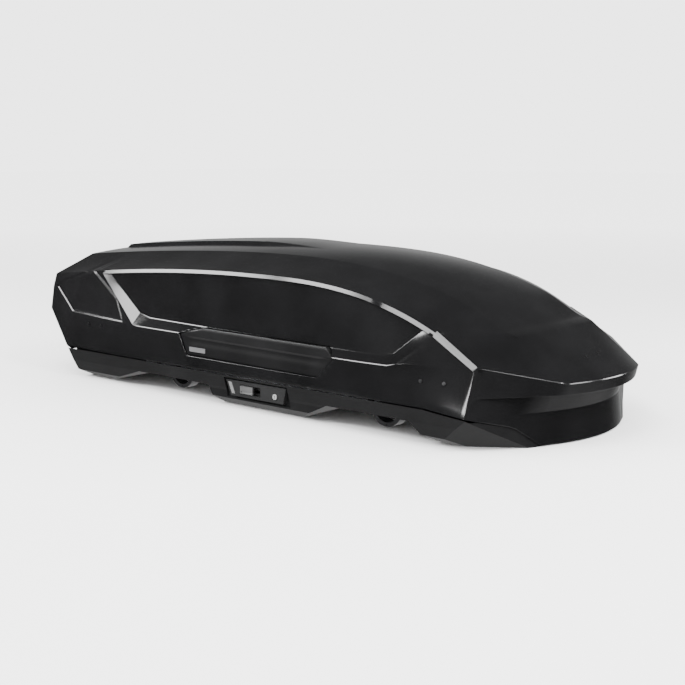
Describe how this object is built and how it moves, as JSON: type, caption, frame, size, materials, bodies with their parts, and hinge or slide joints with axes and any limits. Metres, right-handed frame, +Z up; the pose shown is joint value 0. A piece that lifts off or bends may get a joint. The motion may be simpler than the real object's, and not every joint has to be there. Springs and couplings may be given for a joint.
{
  "type": "roof cargo box",
  "caption": "Long black roof cargo box with a faceted nose, a lid that opens from either side, side locks and claw clamps for load bars.",
  "frame": {"origin": "middle of the length and width, on the plane of the feet under the tray", "axes": "+X to the nose, +Y to the left side of the car, +Z up"},
  "size_m": [1.9418, 0.852, 0.4742],
  "materials": {
    "gloss_shell": "glossy black thermoformed shell",
    "rib": "matt black rib",
    "rivet": "small bright rivet heads",
    "tray_plastic": "fine-grained black tray",
    "steel": "zinc-plated sheet steel",
    "pin_steel": "bright steel pins",
    "handle_plastic": "satin black grip panel",
    "badge_plate": "plain satin plate",
    "lock_plastic": "matt black lock cover",
    "grey_insert": "mid-grey insert",
    "silver_slide": "satin silver thumb slide",
    "key_metal": "bright key cylinder",
    "clamp_plastic": "glass-filled black plastic",
    "knob_plastic": "soft-touch dark grey knob",
    "claw_plastic": "glass-filled black jaw"
  },
  "bodies": {
    "tray": {"base_tray": "tray_plastic", "floor_rail_right": "steel", "pin_cradles_right": "steel", "lock_housing_right": "lock_plastic", "lock_insert_right": "grey_insert", "clamp_housing_rear_right": "clamp_plastic", "clamp_housing_front_right": "clamp_plastic", "floor_rail_left": "steel", "pin_cradles_left": "steel", "lock_housing_left": "lock_plastic", "lock_insert_left": "grey_insert", "clamp_housing_rear_left": "clamp_plastic", "clamp_housing_front_left": "clamp_plastic"},
    "right_pins": {"hinge_pins_right": "pin_steel"},
    "lid": {"lid_shell": "gloss_shell", "lid_rib_rear": "rib", "lid_rib_front": "rib", "side_rivets": "rivet", "nose_rivets": "rivet", "hinge_pins_left": "pin_steel", "handle_right": "handle_plastic", "badge_right": "badge_plate", "hinge_brackets_right": "steel", "handle_left": "handle_plastic", "badge_left": "badge_plate", "hinge_brackets_left": "steel"},
    "lock_right": {"lock_slider_right": "silver_slide", "lock_bar_right": "steel"},
    "key_right": {"key_cylinder_right": "key_metal"},
    "knob_rear_right": {"clamp_knob_rear_right": "knob_plastic"},
    "claw_fore_rear_right": {"claw_fore_rear_right": "claw_plastic"},
    "claw_aft_rear_right": {"claw_aft_rear_right": "claw_plastic"},
    "knob_front_right": {"clamp_knob_front_right": "knob_plastic"},
    "claw_fore_front_right": {"claw_fore_front_right": "claw_plastic"},
    "claw_aft_front_right": {"claw_aft_front_right": "claw_plastic"},
    "lock_left": {"lock_slider_left": "silver_slide", "lock_bar_left": "steel"},
    "key_left": {"key_cylinder_left": "key_metal"},
    "knob_rear_left": {"clamp_knob_rear_left": "knob_plastic"},
    "claw_fore_rear_left": {"claw_fore_rear_left": "claw_plastic"},
    "claw_aft_rear_left": {"claw_aft_rear_left": "claw_plastic"},
    "knob_front_left": {"clamp_knob_front_left": "knob_plastic"},
    "claw_fore_front_left": {"claw_fore_front_left": "claw_plastic"},
    "claw_aft_front_left": {"claw_aft_front_left": "claw_plastic"}
  },
  "joints": [
    {"name": "open_from_right", "type": "hinge", "parent": "tray", "child": "right_pins", "pos_m": [0, 0.398, 0.118], "axis": [1, 0, 0], "range_deg": [-40, 0]},
    {"name": "open_from_left", "type": "hinge", "parent": "right_pins", "child": "lid", "pos_m": [0, -0.398, 0.118], "axis": [1, 0, 0], "range_deg": [0, 40]},
    {"name": "lock_slide_right", "type": "slide", "parent": "tray", "child": "lock_right", "axis": [1, 0, 0], "range_m": [0, 0.024]},
    {"name": "key_turn_right", "type": "hinge", "parent": "tray", "child": "key_right", "pos_m": [0.107, -0.41, 0.058], "axis": [0, -1, 0], "range_deg": [0, 90]},
    {"name": "clamp_turn_rear_right", "type": "hinge", "parent": "tray", "child": "knob_rear_right", "pos_m": [-0.405, -0.3, 0.12], "axis": [0, 0, 1], "range_deg": [0, 180]},
    {"name": "claw_fore_swing_rear_right", "type": "hinge", "parent": "tray", "child": "claw_fore_rear_right", "pos_m": [-0.393, -0.3, 0.092], "axis": [0, 1, 0], "range_deg": [-30, 0]},
    {"name": "claw_aft_swing_rear_right", "type": "hinge", "parent": "tray", "child": "claw_aft_rear_right", "pos_m": [-0.417, -0.3, 0.092], "axis": [0, 1, 0], "range_deg": [0, 30]},
    {"name": "clamp_turn_front_right", "type": "hinge", "parent": "tray", "child": "knob_front_right", "pos_m": [0.437, -0.3, 0.12], "axis": [0, 0, 1], "range_deg": [0, 180]},
    {"name": "claw_fore_swing_front_right", "type": "hinge", "parent": "tray", "child": "claw_fore_front_right", "pos_m": [0.449, -0.3, 0.092], "axis": [0, 1, 0], "range_deg": [-30, 0]},
    {"name": "claw_aft_swing_front_right", "type": "hinge", "parent": "tray", "child": "claw_aft_front_right", "pos_m": [0.425, -0.3, 0.092], "axis": [0, 1, 0], "range_deg": [0, 30]},
    {"name": "lock_slide_left", "type": "slide", "parent": "tray", "child": "lock_left", "axis": [1, 0, 0], "range_m": [0, 0.024]},
    {"name": "key_turn_left", "type": "hinge", "parent": "tray", "child": "key_left", "pos_m": [0.107, 0.41, 0.058], "axis": [0, 1, 0], "range_deg": [0, 90]},
    {"name": "clamp_turn_rear_left", "type": "hinge", "parent": "tray", "child": "knob_rear_left", "pos_m": [-0.405, 0.3, 0.12], "axis": [0, 0, 1], "range_deg": [0, 180]},
    {"name": "claw_fore_swing_rear_left", "type": "hinge", "parent": "tray", "child": "claw_fore_rear_left", "pos_m": [-0.393, 0.3, 0.092], "axis": [0, 1, 0], "range_deg": [-30, 0]},
    {"name": "claw_aft_swing_rear_left", "type": "hinge", "parent": "tray", "child": "claw_aft_rear_left", "pos_m": [-0.417, 0.3, 0.092], "axis": [0, 1, 0], "range_deg": [0, 30]},
    {"name": "clamp_turn_front_left", "type": "hinge", "parent": "tray", "child": "knob_front_left", "pos_m": [0.437, 0.3, 0.12], "axis": [0, 0, 1], "range_deg": [0, 180]},
    {"name": "claw_fore_swing_front_left", "type": "hinge", "parent": "tray", "child": "claw_fore_front_left", "pos_m": [0.449, 0.3, 0.092], "axis": [0, 1, 0], "range_deg": [-30, 0]},
    {"name": "claw_aft_swing_front_left", "type": "hinge", "parent": "tray", "child": "claw_aft_front_left", "pos_m": [0.425, 0.3, 0.092], "axis": [0, 1, 0], "range_deg": [0, 30]}
  ],
  "couplings": [
    {"joint": "claw_fore_swing_rear_right", "follows": "clamp_turn_rear_right", "ratio": -0.1666},
    {"joint": "claw_aft_swing_rear_right", "follows": "clamp_turn_rear_right", "ratio": 0.1666},
    {"joint": "claw_fore_swing_front_right", "follows": "clamp_turn_front_right", "ratio": -0.1666},
    {"joint": "claw_aft_swing_front_right", "follows": "clamp_turn_front_right", "ratio": 0.1666},
    {"joint": "claw_fore_swing_rear_left", "follows": "clamp_turn_rear_left", "ratio": -0.1666},
    {"joint": "claw_aft_swing_rear_left", "follows": "clamp_turn_rear_left", "ratio": 0.1666},
    {"joint": "claw_fore_swing_front_left", "follows": "clamp_turn_front_left", "ratio": -0.1666},
    {"joint": "claw_aft_swing_front_left", "follows": "clamp_turn_front_left", "ratio": 0.1666}
  ]
}
